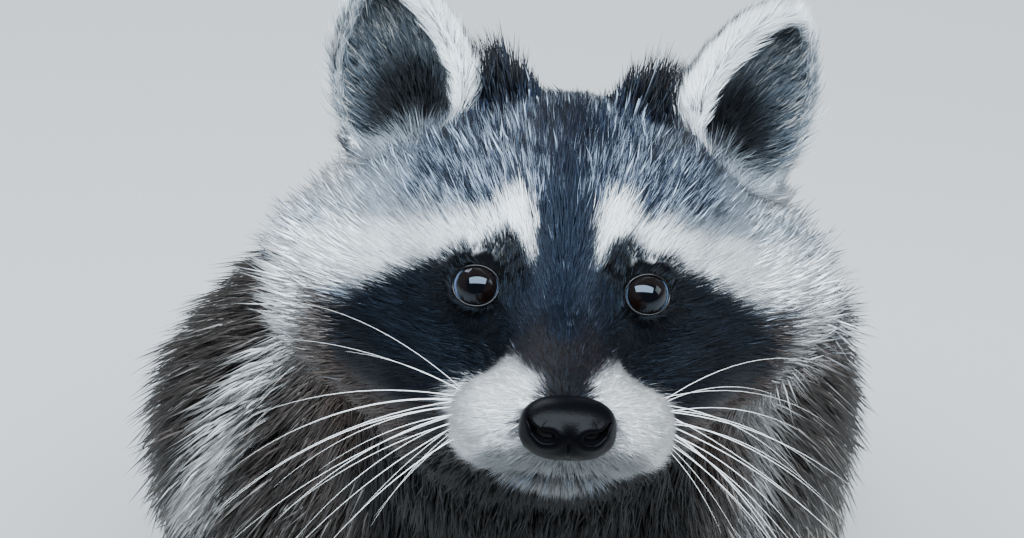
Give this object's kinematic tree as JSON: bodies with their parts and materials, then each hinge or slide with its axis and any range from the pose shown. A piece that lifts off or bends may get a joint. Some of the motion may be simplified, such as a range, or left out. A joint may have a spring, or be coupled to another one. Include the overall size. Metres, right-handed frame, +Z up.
{
  "type": "raccoon",
  "caption": "Still life-size raccoon sitting on its haunches, head raised, black mask, white muzzle and brows, ringed bushy tail curled on the floor beside it",
  "frame": {"origin": "On the floor, in the middle of the bounding box", "axes": "+Z up; the animal faces -Y, its left side is +X, and its tail is at +Y"},
  "size_m": [0.2946, 0.4708, 0.3783],
  "materials": {
    "coat": "long grizzled grey-brown fur, matt",
    "coat_face": "short fur of the face, dark mask with white brows and muzzle",
    "coat_dark": "near-black fur of the throat and tail tip",
    "coat_pale": "pale short fur of the ears, muzzle and paws",
    "eye": "wet, very glossy dark brown eye",
    "nose": "moist black nose leather",
    "claw": "dark horn, smooth"
  },
  "bodies": {
    "root": {"nose": "nose", "ear_l": "coat_pale", "eye_l": "eye", "ear_r": "coat_pale", "eye_r": "eye", "head": "coat_face", "lower_jaw": "coat_dark", "muzzle": "coat_pale", "neck": "coat", "foreleg_l": "coat", "forepaw_l": "coat_pale", "claw_forepaw_l_1": "claw", "claw_forepaw_l_2": "claw", "claw_forepaw_l_3": "claw", "claw_forepaw_l_4": "claw", "claw_forepaw_l_5": "claw", "hindfoot_l": "coat_pale", "claw_hindfoot_l_1": "claw", "claw_hindfoot_l_2": "claw", "claw_hindfoot_l_3": "claw", "claw_hindfoot_l_4": "claw", "claw_hindfoot_l_5": "claw", "thigh_l": "coat", "foreleg_r": "coat", "forepaw_r": "coat_pale", "claw_forepaw_r_5": "claw", "claw_forepaw_r_4": "claw", "claw_forepaw_r_3": "claw", "claw_forepaw_r_2": "claw", "claw_forepaw_r_1": "claw", "hindfoot_r": "coat_pale", "claw_hindfoot_r_5": "claw", "claw_hindfoot_r_4": "claw", "claw_hindfoot_r_3": "claw", "claw_hindfoot_r_2": "claw", "claw_hindfoot_r_1": "claw", "thigh_r": "coat", "chest": "coat", "belly": "coat", "rump": "coat", "tail_1": "coat", "tail_2": "coat", "tail_3": "coat", "tail_4": "coat_dark"}
  },
  "joints": []
}
